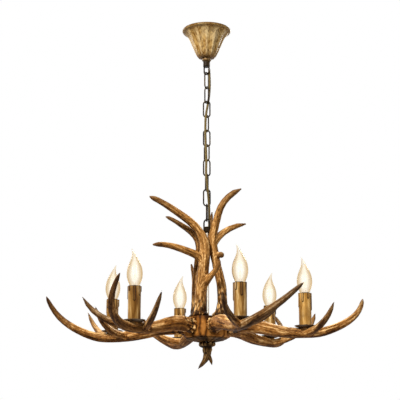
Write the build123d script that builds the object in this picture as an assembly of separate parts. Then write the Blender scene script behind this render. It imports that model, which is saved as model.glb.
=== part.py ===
"""Six-light antler chandelier on a chain, in millimetres.

Frame: the origin is the centre of the ceiling mounting face, +Z points up, X runs to the right and
Y away from the front. Everything hangs below z = 0.
"""
from build123d import *
from math import cos, pi, sin, tan
import os

os.makedirs("parts", exist_ok=True)

# ---------------------------------------------------------------- driving dimensions
running_gap = 0.3          # between faces of pieces that move past each other
seat_gap = 0.3             # round pegs in their holes

# ceiling canopy
rim_diameter = 115.0
rim_bead = 4.0
canopy_height = 72.0
canopy_wall = 1.6
flute_count = 12
flute_depth = 0.06         # share of the radius between a ridge and a hollow
canopy_base_diameter = 31.0

# ceiling crossbar inside the canopy
bar_room = 19.0            # the rim's diameter less the bar's length
bar_length = rim_diameter - bar_room
bar_width = 16.0
bar_thickness = 2.0
slot_room = 26.0           # the bar's length less the way between its slots
slot_spacing = bar_length - slot_room
slot_length = 18.0
slot_width = 4.4

# threaded pipe, nuts and screw-collar loops
pipe_diameter = 10.0
pipe_bore = 7.0
nut_width = 15.0
nut_height = 5.0
collar_diameter = 22.0
collar_height = 8.0
barrel_diameter = 17.0
barrel_height = 14.0
loop_width = 20.0
loop_height = 20.0
loop_wire = 3.6
canopy_loop_turn = -45.0
column_loop_turn = -35.0
pipe_grip = 8.0            # how far a pipe screws into a loop's barrel

# chain, from the top link to the bottom one; the turns are measured from the X axis
link_length = 43.3
link_width = 18.8
link_wire = 3.4
link_play = 0.4
link_turns = [55, -56, 0, -58, 10, -44, 12, -68, 8, 85]

# lamp cord woven through the chain
cord_diameter = 5.6
notch_depth = 5.0          # of the cord's notch in a loop's barrel

# central column
column_diameter = 10.0
column_bore = 7.0
column_rise = 197.0        # hub top to the underside of the column loop's barrel

# hub
hub_diameter = 106.0
hub_height = 47.0
flat_depth = 3.0           # how far each flat is cut into the drum
hub_flat = hub_diameter / 2 - flat_depth       # from the axis to the flat that an arm's burr seats on
hub_wall = 12.0
hub_top_wall = 10.0
cover_diameter = 96.0
cover_depth = 8.5
cover_tip_diameter = 42.0
finial_grip = 8.0          # how far the column runs into the finial

# antlers
arm_count = 6
arm_turns = [346.5, 47.4, 107.4, 167.4, 226.5, 288.0]
candle_radius = 226.0
pan_drop = 26.0            # hub top down to the rim plane of the drip pans
beam_drop = 15.0           # rim plane of a drip pan down to the middle of the beam under it
burr_diameter = 37.0
burr_thickness = 9.0
burr_beads = 14

# candles
pan_diameter = 49.0
pan_depth = 4.5
pan_sheet = 1.2
pan_lip = 1.5              # height of the rim's edge above the rim plane
boss_diameter = 18.0
sleeve_diameter = 28.0
sleeve_wall = 1.5
sleeve_height = 76.5
drip_diameter = 5.0
drip_lengths = [40, 18, 30, 12, 34, 22, 14]
socket_diameter = 21.0
socket_top_drop = 7.0      # sleeve top down to the socket's mouth
socket_length = 52.0
stem_diameter = 9.8
stem_depth = 9.0           # how far the stem runs down into the arm

# bulbs
cap_diameter = 14.0
cap_length = 22.0
cap_flange_diameter = 17.0
glass_diameter = 35.0
glass_length = 86.0
glass_wall = 0.9
tip_bend = 7.5
bulb_tip_turns = [200, 20, 8, 35, 160, 190]


# ---------------------------------------------------------------- helpers
def write(name, *solids):
    """One STEP file per named piece, or per group of like fasteners."""
    shape = solids[0] if len(solids) == 1 else Compound(children=list(solids))
    shape.label = name
    export_step(shape, f"parts/{name}.step")


def lathe(outline):
    """A solid turned about the Z axis from a closed outline of (radius, height) points."""
    face = make_face(Polyline([(r, 0, z) for r, z in outline], close=True).edges())
    return revolve(face, Axis.Z).solid()


def rod(diameter, low, high, x=0.0, y=0.0):
    """An upright cylinder between two heights."""
    centre = (x, y, (low + high) / 2)
    return Pos(*centre) * Cylinder(diameter / 2, high - low)


def ring_at(plane, radii):
    """A closed polygon in a plane, one corner per radius, evenly spread."""
    step = 2 * pi / len(radii)
    corners = [plane.from_local_coords((r * cos(k * step), r * sin(k * step))) for k, r in enumerate(radii)]
    return Wire.make_polygon(corners, close=True)


# ---------------------------------------------------------------- antler horn
# A horn's cross-section is a ten-sided ring whose uneven corners run along it as ridges and grooves.
HORN_SECTION = (1.00, 0.93, 1.04, 0.95, 1.01, 0.92, 1.05, 0.96, 1.02, 0.94)
STATIONS = 2               # sections per stretch between two points of a horn's centre line


def horn(points, thickness):
    """A tapering beam or tine along a smooth line through points, with a thickness at each one.

    It ends in a point. The section is carried along the line without twisting about it.
    """
    path = Spline([Vector(*p) for p in points])
    knots = [path.param_at_point(Vector(*p)) for p in points]
    across = Vector(0, 0, 1).cross(path % 0)
    if across.length < 0.3:
        across = Vector(1, 0, 0)
    rings = []
    for n in range(len(points) - 1):
        for k in range(STATIONS):
            share = k / STATIONS
            u = knots[n] + (knots[n + 1] - knots[n]) * share
            half = (thickness[n] + (thickness[n + 1] - thickness[n]) * share) / 2
            along = path % u
            across = (across - along * across.dot(along)).normalized()
            plane = Plane(origin=path @ u, x_dir=across, z_dir=along)
            rings.append(ring_at(plane, [half * f for f in HORN_SECTION]))
    rings.append(Vertex(*(path @ 1)))
    return Solid.make_loft(rings, ruled=True)


def burr(origin, outward, diameter, thickness):
    """The beaded coronet at the root of an antler, flat on the side that it seats on."""
    plane = Plane(origin=origin, z_dir=outward)
    profile = [(0.0, 0.84), (0.30, 1.0), (0.62, 1.0), (1.0, 0.76)]
    rings = []
    for height, share in profile:
        big = diameter / 2 * share
        radii = [big if k % 2 else big * 0.90 for k in range(2 * burr_beads)]
        rings.append(ring_at(plane.offset(thickness * height), radii))
    return Solid.make_loft(rings, ruled=True)


# ---------------------------------------------------------------- heights, from the ceiling down
collar_top = -canopy_height
barrel_top = collar_top - collar_height
first_contact = barrel_top - barrel_height - loop_height + loop_wire + link_play / 2
link_pitch = link_length - 2 * link_wire - link_play
contacts = [first_contact - link_pitch * n for n in range(len(link_turns) + 1)]
column_barrel_top = contacts[-1] + link_play / 2 + loop_wire - loop_height
column_barrel_base = column_barrel_top - barrel_height
hub_top = column_barrel_base - column_rise
hub_base = hub_top - hub_height
cover_base = hub_base - cover_depth
pan_level = hub_top - pan_drop


# ---------------------------------------------------------------- canopy and crossbar
rim_radius = rim_diameter / 2
base_radius = canopy_base_diameter / 2
# Levels of the canopy's trumpet, from the ceiling down: (radius, height).
canopy_levels = [
    (rim_radius - 1.0, -rim_bead),
    (rim_radius - 6.5, -0.15 * canopy_height),
    (rim_radius - 14.0, -0.27 * canopy_height),
    (rim_radius - 22.0, -0.55 * canopy_height),
    (base_radius + 7.5, -0.90 * canopy_height),
    (base_radius, -canopy_height),
]


def canopy():
    """A fluted cup with a rolled rim, open at the ceiling and bored for the pipe."""
    rings = []
    for radius, height in canopy_levels:
        radii = [radius if k % 2 else radius * (1 - flute_depth) for k in range(2 * flute_count)]
        rings.append(ring_at(Plane.XY.offset(height), radii))
    cup = Solid.make_loft(rings, ruled=True)
    inner = [(r * (1 - flute_depth) - canopy_wall, z) for r, z in canopy_levels]
    mouth = inner[0][0]
    floor = -canopy_height + 2 * canopy_wall
    hollow = [(0, 0), (mouth, 0)] + inner[:-1] + [(inner[-1][0], floor), (0, floor)]
    bead = [
        (mouth, 0),
        (rim_radius - 1.2, 0),
        (rim_radius, -0.3 * rim_bead),
        (rim_radius, -0.7 * rim_bead),
        (rim_radius - 1.2, -rim_bead),
        (rim_radius - 4.0, -1.5 * rim_bead),
        (mouth, -rim_bead),
    ]
    hole = rod(pipe_diameter + 2 * seat_gap, -canopy_height, floor)
    return cup.fuse(lathe(bead)).cut(lathe(hollow), hole).solid()


def crossbar():
    """A flat steel bar with two slots for the ceiling box's screws and a hole for the pipe."""
    bar = Pos(0, 0, -bar_thickness / 2) * Box(bar_length, bar_width, bar_thickness)
    slot = extrude(Plane.XY.offset(-bar_thickness) * SlotOverall(slot_length, slot_width), bar_thickness)
    cuts = [Pos(x, 0, 0) * slot for x in (-slot_spacing / 2, slot_spacing / 2)]
    cuts.append(rod(pipe_diameter + 2 * seat_gap, -bar_thickness, 0))
    return bar.cut(*cuts).solid()


def nut(top):
    """A hexagonal lock nut whose upper face is at a given height."""
    low = top - nut_height
    hexagon = Plane.XY.offset(low) * RegularPolygon(nut_width / 2, 6, major_radius=False)
    return extrude(hexagon, nut_height).cut(rod(pipe_diameter + 2 * seat_gap, low, top)).solid()


def pipe(diameter, bore, low, high):
    """A length of straight pipe."""
    return rod(diameter, low, high).cut(rod(bore, low, high)).solid()


def canopy_collar():
    """The knurled ring nut that holds the canopy up against the ceiling."""
    big = collar_diameter / 2
    ring = lathe([
        (pipe_diameter / 2 + seat_gap, 0),
        (big - 1.0, 0),
        (big, -1.5),
        (big, -collar_height + 2.5),
        (big - 3.0, -collar_height),
        (pipe_diameter / 2 + seat_gap, -collar_height),
    ])
    return Pos(0, 0, collar_top) * ring


def half_ring(mean_radius, wire):
    """The lower half of a wire ring that stands in the XZ plane about the origin."""
    section = Pos(mean_radius, 0, 0) * Circle(wire / 2)
    return revolve(section, Axis.Y, 180)


def screw_loop():
    """A bored barrel with a ring below it, its top at z = 0 and its ring in the XZ plane."""
    mean = (loop_width - loop_wire) / 2
    drop = barrel_height + loop_height - loop_wire / 2 - mean
    big = barrel_diameter / 2
    barrel = lathe([
        (0, 0),
        (big - 1.5, 0),
        (big, -2.0),
        (big, -barrel_height + 1.5),
        (big - 1.5, -barrel_height),
        (0, -barrel_height),
    ])
    bend = Pos(0, 0, -drop) * half_ring(mean, loop_wire)
    legs = [rod(loop_wire, -drop, -barrel_height / 2, x) for x in (-mean, mean)]
    bore = rod(pipe_diameter + 2 * seat_gap, -pipe_grip - seat_gap, 0)
    return barrel.fuse(bend, *legs).cut(bore).solid()


# ---------------------------------------------------------------- chain
def chain_link():
    """An oval wire link in the XZ plane, centred on the origin."""
    mean = (link_width - link_wire) / 2
    straight = (link_length - link_wire) / 2 - mean
    bottom = Pos(0, 0, -straight) * half_ring(mean, link_wire)
    top = Rot(0, 180, 0) * bottom
    legs = [rod(link_wire, -straight, straight, x) for x in (-mean, mean)]
    return bottom.fuse(top, *legs).solid()


# ---------------------------------------------------------------- hub
def hub():
    """A drum with a flat for each arm, hollow below for the wiring and bored for the column."""
    big = hub_diameter / 2
    drum = lathe([
        (0, hub_top),
        (big - 4.0, hub_top),
        (big - 1.0, hub_top - 1.2),
        (big, hub_top - 4.0),
        (big, hub_base + 4.0),
        (big - 1.0, hub_base + 1.2),
        (big - 4.0, hub_base),
        (0, hub_base),
    ])
    chamber = rod(hub_diameter - 2 * hub_wall, hub_base, hub_top - hub_top_wall)
    bore = rod(column_diameter + 2 * seat_gap, hub_top - hub_top_wall, hub_top)
    block = Pos(hub_flat + big / 2, 0, (hub_top + hub_base) / 2) * Box(big, hub_diameter, hub_height)
    flats = [Rot(0, 0, turn) * block for turn in arm_turns]
    return drum.cut(chamber, bore, *flats).solid()


def hub_cover():
    """A dished plate that closes the hub from below."""
    wide = cover_diameter / 2
    narrow = cover_tip_diameter / 2
    hole = column_diameter / 2 + seat_gap
    return lathe([
        (hole, hub_base),
        (wide, hub_base),
        (wide, hub_base - 2.0),
        ((wide + narrow) / 2, hub_base - 0.62 * cover_depth),
        (narrow, cover_base),
        (hole, cover_base),
    ])


def bottom_finial():
    """A small upside-down antler with a short and a long prong."""
    stub = horn(
        [(0, 0, -3), (0, 0, -20), (-1.5, 0, -34), (-8, -1, -46), (-17, -2, -57)],
        [29, 20, 15, 9.5, 4],
    )
    prong = horn([(0, 0, -24), (4, 1, -33), (8, 2, -40), (10, 3, -47)], [13, 10, 7, 4])
    crown = burr((0, 0, 0), (0, 0, -1), burr_diameter, 1.3 * burr_thickness)
    socket = rod(column_diameter + 2 * seat_gap, -finial_grip - seat_gap, 0)
    return Pos(0, 0, cover_base) * crown.fuse(stub, prong).cut(socket).solid()


# ---------------------------------------------------------------- arms
def arm():
    """One antler arm along +X, at the height of the pan's rim.

    The root's points are given outwards from the hub's flat, and all others outwards from the candle.
    """
    root = [(2, 0, 4), (30, 0, 5.5), (62, 0, 3.5)]
    run = [(-80, 1, -5), (-40, 1, -12.5), (0, 0, -beam_drop), (30, 4, -14), (53, 10, -8), (74, 20, 1),
           (94, 33, 13), (111, 50, 29), (122, 70, 49), (127, 90, 69)]
    outer = [(-4, -2, -beam_drop), (16, -14, -12), (40, -36, -1), (63, -57, 19), (79, -68, 44)]
    inner = [(-36, 1, -11), (-20, 21, -9), (-6, 48, 1), (5, 73, 20), (11, 92, 45)]
    beam = horn(
        [(hub_flat + x, y, z) for x, y, z in root] + [(candle_radius + x, y, z) for x, y, z in run],
        [31, 34, 32, 28, 23.5, 21, 19.5, 18, 16.5, 15, 12.5, 9, 4],
    )
    outer_tine = horn([(candle_radius + x, y, z) for x, y, z in outer], [15, 15, 14, 10.5, 4])
    inner_tine = horn([(candle_radius + x, y, z) for x, y, z in inner], [15, 15, 13.5, 10, 4])
    crown = burr((hub_flat, 0, root[0][2]), (1, 0, 0), burr_diameter, burr_thickness)
    boss = rod(boss_diameter, -beam_drop, pan_base, candle_radius)
    bore = rod(stem_diameter + 2 * seat_gap, pan_base - stem_depth - seat_gap, pan_base, candle_radius)
    return beam.fuse(crown, outer_tine, inner_tine, boss).cut(bore).solid()


# ---------------------------------------------------------------- uprights
# Points of each upright are (right, away, up) from the centre of the hub's top.
def upright(root, beam, beam_sizes, *tines):
    """A standing antler: a burr on the hub, a beam that ends in its top tine, and side tines."""
    trunk = horn([(root[0], root[1], 2)] + beam, beam_sizes)
    crown = burr((root[0], root[1], 0), (0, 0, 1), burr_diameter, burr_thickness)
    branches = [horn(points, sizes) for points, sizes in tines]
    return Pos(0, 0, hub_top) * trunk.fuse(crown, *branches).solid()


def front_upright():
    return upright(
        (-19, -27),
        [(-18, -26, 37), (-15, -24, 76), (-11, -20, 118), (-9.5, -17, 152), (-14, -17, 186),
         (-28, -17, 210), (-54, -19, 232), (-84, -24, 252), (-112, -30, 268), (-129, -34, 275)],
        [30, 24, 23.5, 23, 22, 19, 16.5, 15, 12.5, 8.5, 4],
        ([(-12, -19, 124), (-22, -21, 137), (-42, -27, 147), (-73, -34, 158), (-100, -42, 162), (-120, -48, 161)],
         [17, 16, 13.5, 11.5, 8.5, 4]),
        ([(-15, -24, 58), (-7, -27, 74), (7, -33, 92), (20, -41, 107), (27, -48, 120)],
         [15, 13.5, 11, 8, 4]),
    )


def right_upright():
    return upright(
        (31, 0),
        [(33, 0, 38), (31, 0, 62), (26, 0, 88), (20.5, -1, 118), (17, -2, 152), (17, -3, 184),
         (22, -5, 222), (32, -7, 256), (50, -8, 281), (77, -6, 299)],
        [28, 19, 18, 17.5, 17, 17, 16.5, 14.5, 12, 9, 4],
        ([(17, -2, 168), (31, 5, 190), (55, 13, 210), (89, 20, 222)], [14, 13, 9.5, 4]),
        ([(20, -2, 108), (24, -16, 122), (29, -34, 132), (34, -50, 138)], [12, 11, 9, 6]),
    )


def back_upright():
    return upright(
        (-25, 23),
        [(-27, 23, 38), (-27, 22, 76), (-22, 19, 118), (-17, 17, 152), (-20, 17, 182),
         (-38, 21, 205), (-61, 27, 222), (-80, 32, 235), (-95, 36, 243)],
        [30, 23, 22, 21, 19.5, 18, 15, 12, 8, 4],
        ([(-27, 22, 58), (-31, 29, 84), (-34, 36, 106), (-37, 42, 132)], [14, 12.5, 9, 4]),
        ([(-17, 17, 150), (-9, 23, 180), (3, 30, 205), (9, 37, 228), (12, 44, 254)], [15, 14, 12, 8.5, 4]),
    )


# ---------------------------------------------------------------- candles, at the origin of a pan's rim plane
pan_base = pan_lip - pan_depth
pan_floor = pan_base + pan_sheet
sleeve_top = pan_floor + sleeve_height
socket_mouth = sleeve_top - socket_top_drop


def drip_pan():
    """A shallow spun dish with a hole for the stem."""
    rim = pan_diameter / 2
    hole = stem_diameter / 2 + seat_gap
    return lathe([
        (hole, pan_base),
        (0.63 * rim, pan_base),
        (0.85 * rim, pan_base + 0.35 * pan_depth),
        (rim, pan_lip - 0.8),
        (rim, pan_lip),
        (rim - pan_sheet, pan_lip),
        (0.82 * rim, pan_floor + 0.30 * pan_depth),
        (0.61 * rim, pan_floor),
        (hole, pan_floor),
    ])


def candle_sleeve():
    """A tube with wax runs of several lengths down its outside."""
    tube = pipe(sleeve_diameter, sleeve_diameter - 2 * sleeve_wall, pan_floor, sleeve_top)
    runs = []
    for k, length in enumerate(drip_lengths):
        low = sleeve_top - length
        half = drip_diameter / 2
        run = rod(drip_diameter, low + half, sleeve_top, sleeve_diameter / 2 - 0.8)
        bead = Pos(sleeve_diameter / 2 - 0.8, 0, low + half / 2) * Cone(0.5 * half, half, half)
        runs += [Rot(0, 0, 360 * k / len(drip_lengths)) * piece for piece in (run, bead)]
    bore = rod(sleeve_diameter - 2 * sleeve_wall, pan_floor, sleeve_top)
    return tube.fuse(*runs).cut(bore).solid()


def lamp_socket():
    """A candle lampholder on its threaded stem, with a foot that clamps the pan."""
    low = socket_mouth - socket_length
    stem = rod(stem_diameter, pan_base - stem_depth, low)
    foot = rod(stem_diameter + 6, pan_floor, pan_floor + 4)
    body = rod(socket_diameter, low, socket_mouth)
    bore = rod(cap_diameter + 2 * running_gap + 0.4, socket_mouth - cap_length - 2, socket_mouth)
    return stem.fuse(foot, body).cut(bore).solid()


# ---------------------------------------------------------------- bulbs
# The glass's outline: (share of its length from the cap, share of its largest radius).
GLASS = [(0, 0.49), (0.06, 0.62), (0.15, 0.80), (0.25, 0.95), (0.36, 1.0), (0.48, 0.94),
         (0.61, 0.74), (0.73, 0.48), (0.84, 0.26), (0.93, 0.13), (1.0, 0.06)]
cap_rise = 2.0             # thickness of the cap's flange above the socket's mouth
glass_base = socket_mouth + running_gap + cap_rise


def glass_form(inset):
    """The bent-tip flame, or its inside when inset is the wall."""
    rings = []
    for share, width in GLASS:
        radius = max(width * glass_diameter / 2 - inset, 0.25)
        height = glass_base + (glass_length - 2 * inset) * share + inset
        lean = tip_bend * max(0, (share - 0.64) / 0.36) ** 2
        rings.append(Plane.XY.offset(height) * Pos(lean, 0) * Circle(radius))
    return loft(rings)


def bulb_glass():
    return glass_form(0).cut(glass_form(glass_wall)).solid()


def bulb_cap():
    """The screw cap: a flange on the socket's mouth, the shell and the end contact."""
    low = glass_base - cap_rise - cap_length
    return lathe([
        (0, glass_base),
        (cap_flange_diameter / 2, glass_base),
        (cap_flange_diameter / 2, glass_base - cap_rise),
        (cap_diameter / 2, glass_base - cap_rise),
        (cap_diameter / 2, low + 5),
        (4.0, low + 1.5),
        (2.5, low),
        (0, low),
    ])


# ---------------------------------------------------------------- lamp cord
# Points are (right, away): out of the canopy loop's barrel, past each contact of the chain in turn,
# and into the column loop's barrel.
cord_points = [
    (6.0, 0.1), (6.7, 0.2), (7.9, 1.7), (3.7, 6.9), (-2.5, -8.0), (-3.4, -8.4), (-2.4, -5.1),
    (-0.8, -4.8), (-2.2, -9.4), (2.0, -12.8), (5.4, -4.5), (5.6, 2.7), (5.4, 2.7),
]
notch_top = barrel_top - barrel_height + notch_depth
notch_bottom = column_barrel_top - notch_depth


def cord_notch(point, low, high):
    """The room that the cord takes in the edge of a loop's barrel."""
    return rod(cord_diameter + 2 * running_gap, low, high, *point)


def lamp_cord():
    """The cord along its whole route: straight runs joined by tangent arcs."""
    heights = [notch_top - running_gap] + contacts + [notch_bottom + running_gap]
    points = [Vector(x, y, z) for (x, y), z in zip(cord_points, heights)]
    radii = []
    for before, at, after in zip(points, points[1:], points[2:]):
        half_turn = (at - before).get_angle(after - at) / 2
        run = min((at - before).length, (after - at).length)
        radii.append(0.45 * run / tan(half_turn * pi / 180))
    route = FilletPolyline(*points, radius=radii)
    print("cord radii", [round(r) for r in radii])
    section = Plane(origin=route @ 0, z_dir=route % 0) * Circle(cord_diameter / 2)
    tube = sweep(section, route).solid()
    print("cord volume", round(tube.volume), "section x length", round(section.area * route.length))
    return tube


# ---------------------------------------------------------------- the pieces in their places
write("canopy", canopy())
write("crossbar", crossbar())
write("canopy_pipe", pipe(pipe_diameter, pipe_bore, barrel_top - pipe_grip, 0))
write("crossbar_nut", nut(-bar_thickness))
write("canopy_collar", canopy_collar())
loop = screw_loop()
upper_loop = Pos(0, 0, barrel_top) * Rot(0, 0, canopy_loop_turn) * loop
write("canopy_loop", upper_loop.cut(cord_notch(cord_points[0], barrel_top - barrel_height, notch_top)))

link = chain_link()
for n, turn in enumerate(link_turns):
    middle = (contacts[n] + contacts[n + 1]) / 2
    write(f"chain_link_{n + 1:02d}", Pos(0, 0, middle) * Rot(0, 0, turn) * link)

lower_loop = Pos(0, 0, column_barrel_base) * Rot(0, 0, column_loop_turn) * Rot(180, 0, 0) * loop
write("column_loop", lower_loop.cut(cord_notch(cord_points[-1], notch_bottom, column_barrel_top)))
write("lamp_cord", lamp_cord())
column_low = cover_base - finial_grip
write("column_pipe", pipe(column_diameter, column_bore, column_low, column_barrel_base + pipe_grip))
write("hub", hub())
write("hub_nut", nut(hub_top - hub_top_wall))
write("hub_cover", hub_cover())
write("bottom_finial", bottom_finial())
write("upright_antler_front", front_upright())
write("upright_antler_right", right_upright())
write("upright_antler_back", back_upright())

antler = arm()
pan = drip_pan()
sleeve = candle_sleeve()
socket = lamp_socket()
glass = bulb_glass()
cap = bulb_cap()
sockets = []
for n, turn in enumerate(arm_turns):
    root = Pos(0, 0, pan_level) * Rot(0, 0, turn)
    candle = root * Pos(candle_radius, 0, 0)
    write(f"antler_arm_{n + 1}", root * antler)
    write(f"drip_pan_{n + 1}", candle * pan)
    write(f"candle_sleeve_{n + 1}", candle * Rot(0, 0, 50 * n) * sleeve)
    write(f"bulb_glass_{n + 1}", candle * Rot(0, 0, bulb_tip_turns[n] - turn) * glass)
    write(f"bulb_cap_{n + 1}", candle * cap)
    sockets.append(candle * socket)
write("lamp_sockets", *sockets)
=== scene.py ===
"""Looks of the six-light antler chandelier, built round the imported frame, in metres."""
from math import atan2, cos, pi, radians, sin

import bmesh
import bpy
from mathutils import Matrix, Vector, geometry, kdtree, noise


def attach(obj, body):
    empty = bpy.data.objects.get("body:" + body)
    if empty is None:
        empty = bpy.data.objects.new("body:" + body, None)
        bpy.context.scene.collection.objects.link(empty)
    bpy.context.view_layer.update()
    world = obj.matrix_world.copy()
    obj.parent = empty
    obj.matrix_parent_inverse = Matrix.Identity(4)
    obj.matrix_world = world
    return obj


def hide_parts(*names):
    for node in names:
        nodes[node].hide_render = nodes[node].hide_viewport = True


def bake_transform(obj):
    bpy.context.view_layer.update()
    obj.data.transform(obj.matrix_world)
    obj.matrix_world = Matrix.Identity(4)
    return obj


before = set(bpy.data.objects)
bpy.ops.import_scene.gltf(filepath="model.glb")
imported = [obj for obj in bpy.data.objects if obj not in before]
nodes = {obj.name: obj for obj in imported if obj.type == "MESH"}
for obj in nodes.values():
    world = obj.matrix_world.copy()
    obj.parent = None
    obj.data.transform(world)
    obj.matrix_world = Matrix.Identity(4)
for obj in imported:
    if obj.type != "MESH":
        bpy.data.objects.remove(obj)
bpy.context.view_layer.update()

# ---------------------------------------------------------------- studio
# The photograph's camera looks up at the hanging lamp from below the candles. The lamp hangs over a
# pale floor in soft white light, and the world behind it is white.
camera_place = (0.0, -2.49387, -0.99864)
camera_pitch = 0.2270
camera_yaw = 0.0064
camera_lens = 98.35
light_aim = Vector((0, 0, -0.62))
lights = {                  # place, width, power and colour
    "key": ((-1.25, -2.1, 1.35), 0.8, 158.0, (1.0, 0.955, 0.885)),
    "fill": ((2.2, -1.8, 0.5), 1.2, 26.0, (1.0, 0.97, 0.93)),
    "back": ((1.0, 2.3, 1.0), 1.4, 62.0, (1.0, 0.97, 0.93)),
    "back_left": ((-1.9, 1.6, 0.6), 1.4, 34.0, (1.0, 0.97, 0.93)),
}
world_light = 0.06
floor_level = -2.3
floor_reach = 30.0
floor_sides = 96
floor_glow = 0.8

camera_data = bpy.data.cameras.new("photo_camera")
camera_data.lens = camera_lens
camera = bpy.data.objects.new("photo_camera", camera_data)
camera.location = camera_place
camera.rotation_euler = (pi / 2 + camera_pitch, 0, camera_yaw)
bpy.context.scene.collection.objects.link(camera)
bpy.context.scene.camera = camera
bpy.context.scene.view_settings.view_transform = "Standard"

for light_name, (place, width, power, colour) in lights.items():
    light = bpy.data.lights.new(light_name, "AREA")
    light.size = width
    light.energy = power
    light.color = colour
    lamp = bpy.data.objects.new(light_name, light)
    lamp.location = place
    lamp.rotation_euler = (light_aim - Vector(place)).to_track_quat("-Z", "Y").to_euler()
    bpy.context.scene.collection.objects.link(lamp)


def node(tree, kind, inputs=None, **settings):
    """A shader node with its settings, and its inputs set to values or joined to sockets."""
    made = tree.nodes.new("ShaderNode" + kind)
    for key, value in settings.items():
        setattr(made, key, value)
    for key, value in (inputs or {}).items():
        if isinstance(value, bpy.types.NodeSocket):
            tree.links.new(value, made.inputs[key])
        else:
            made.inputs[key].default_value = value
    return made


def combined(tree, operation, first, second):
    """A value worked out from two others."""
    return node(tree, "Math", {0: first, 1: second}, operation=operation).outputs[0]


def white_when_seen(tree, lit):
    """The share that a surface shows plain white: to the camera, in reflections and through glass."""
    path = node(tree, "LightPath").outputs
    seen = combined(tree, "MAXIMUM", path["Is Camera Ray"], path["Is Glossy Ray"])
    through = combined(tree, "MAXIMUM", seen, path["Is Transmission Ray"])
    white = node(tree, lit, {"Color": (1, 1, 1, 1), "Strength": 1.0})
    return through, white.outputs[0]


world = bpy.data.worlds.new("studio")
bpy.context.scene.world = world
world.use_nodes = True
sky = world.node_tree
sky.nodes.clear()
share, white = white_when_seen(sky, "Background")
lit_sky = node(sky, "Background", {"Color": (1.0, 0.985, 0.96, 1), "Strength": world_light})
sky_mix = node(sky, "MixShader", {0: share, 1: lit_sky.outputs[0], 2: white})
node(sky, "OutputWorld", {"Surface": sky_mix.outputs[0]})

floor_form = bmesh.new()
floor_centre = Matrix.Translation((0, 0, floor_level))
bmesh.ops.create_circle(
    floor_form, cap_ends=True, segments=floor_sides, radius=floor_reach, matrix=floor_centre)
floor_mesh = bpy.data.meshes.new("floor")
floor_form.to_mesh(floor_mesh)
floor_form.free()
floor = bpy.data.objects.new("floor", floor_mesh)
bpy.context.scene.collection.objects.link(floor)
floor_paint = bpy.data.materials.new("pale_floor")
floor_paint.use_nodes = True
floor_tree = floor_paint.node_tree
painted = floor_tree.nodes["Principled BSDF"]
painted.inputs["Base Color"].default_value = (0.86, 0.86, 0.85, 1)
painted.inputs["Roughness"].default_value = 0.9
share, white = white_when_seen(floor_tree, "Emission")
pale_share = combined(floor_tree, "MULTIPLY", share, floor_glow)
floor_mix = node(floor_tree, "MixShader", {0: pale_share, 1: painted.outputs[0], 2: white})
floor_tree.links.new(floor_mix.outputs[0], floor_tree.nodes["Material Output"].inputs["Surface"])
floor_mesh.materials.append(floor_paint)

# ---------------------------------------------------------------- ceiling hardware
# Inside the canopy a slotted steel bar is screwed to the ceiling box. A threaded pipe hangs in it by
# a lock nut. They are zinc plated, with the fine lengthwise marks of rolled and drawn steel.
def material(name, roughness, metallic=0.0, **sockets):
    """A new material, its node tree and its shader."""
    made = bpy.data.materials.new(name)
    made.use_nodes = True
    shader = made.node_tree.nodes["Principled BSDF"]
    shader.inputs["Roughness"].default_value = roughness
    shader.inputs["Metallic"].default_value = metallic
    for key, value in sockets.items():
        shader.inputs[key.replace("_", " ")].default_value = value
    return made, made.node_tree, shader


def speckle(tree, vector, detail=4.0, distortion=0.0):
    """A noise value from 0 to 1 over a vector."""
    inputs = {"Vector": vector, "Scale": 1.0, "Detail": detail, "Distortion": distortion}
    return node(tree, "TexNoise", inputs).outputs["Fac"]


def stretched(tree, scale, vector=None):
    """Object coordinates, or another vector, scaled along each axis."""
    source = vector or node(tree, "TexCoord").outputs["Object"]
    return node(tree, "Mapping", {"Vector": source, "Scale": scale}).outputs[0]


def ramp(tree, factor, stops):
    """Colours at places from 0 to 1 along a value."""
    made = node(tree, "ValToRGB", {"Fac": factor})
    band = made.color_ramp.elements
    while len(band) < len(stops):
        band.new(0.5)
    for element, (place, colour) in zip(band, stops):
        element.position = place
        element.color = (*colour, 1)
    return made.outputs["Color"]


def mixed(tree, factor, first, second, mode="MIX"):
    """Two colours mixed by a value."""
    made = node(tree, "Mix", data_type="RGBA", blend_type=mode)
    for place, value in ((0, factor), (6, first), (7, second)):
        if isinstance(value, bpy.types.NodeSocket):
            tree.links.new(value, made.inputs[place])
        else:
            made.inputs[place].default_value = value
    return made.outputs[2]


def level(tree, value, low, high, bottom=0.0, top=1.0):
    """A value stretched from one range to another, and clamped."""
    return node(tree, "MapRange", {0: value, 1: low, 2: high, 3: bottom, 4: top}).outputs[0]


def coat(tree, shader, colour, roughness=None):
    """Joins a colour, and where one is given a roughness, to the shader."""
    tree.links.new(colour, shader.inputs["Base Color"])
    if roughness:
        tree.links.new(roughness, shader.inputs["Roughness"])


def relief(tree, shader, height, depth, strength=1.0):
    """A fine bump of a depth in metres."""
    made = node(tree, "Bump", {"Height": height, "Distance": depth, "Strength": strength})
    tree.links.new(made.outputs[0], shader.inputs["Normal"])


def finish_with(name, paint):
    """Gives a CAD node a material."""
    mesh = nodes[name].data
    mesh.materials.clear()
    mesh.materials.append(paint)


zinc, tree, shader = material("zinc_plate", 0.34, 1.0)
marks = speckle(tree, stretched(tree, (900, 900, 40)), 3)
clouds = speckle(tree, stretched(tree, (60, 60, 60)), 3)
steel = ramp(tree, clouds, [(0.35, (0.50, 0.50, 0.47)), (0.7, (0.74, 0.73, 0.69))])
coat(tree, shader, steel, level(tree, marks, 0.2, 0.8, 0.28, 0.46))
relief(tree, shader, marks, 0.00004)
for name in ("crossbar", "crossbar_nut", "canopy_pipe", "hub_nut"):
    finish_with(name, zinc)

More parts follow.
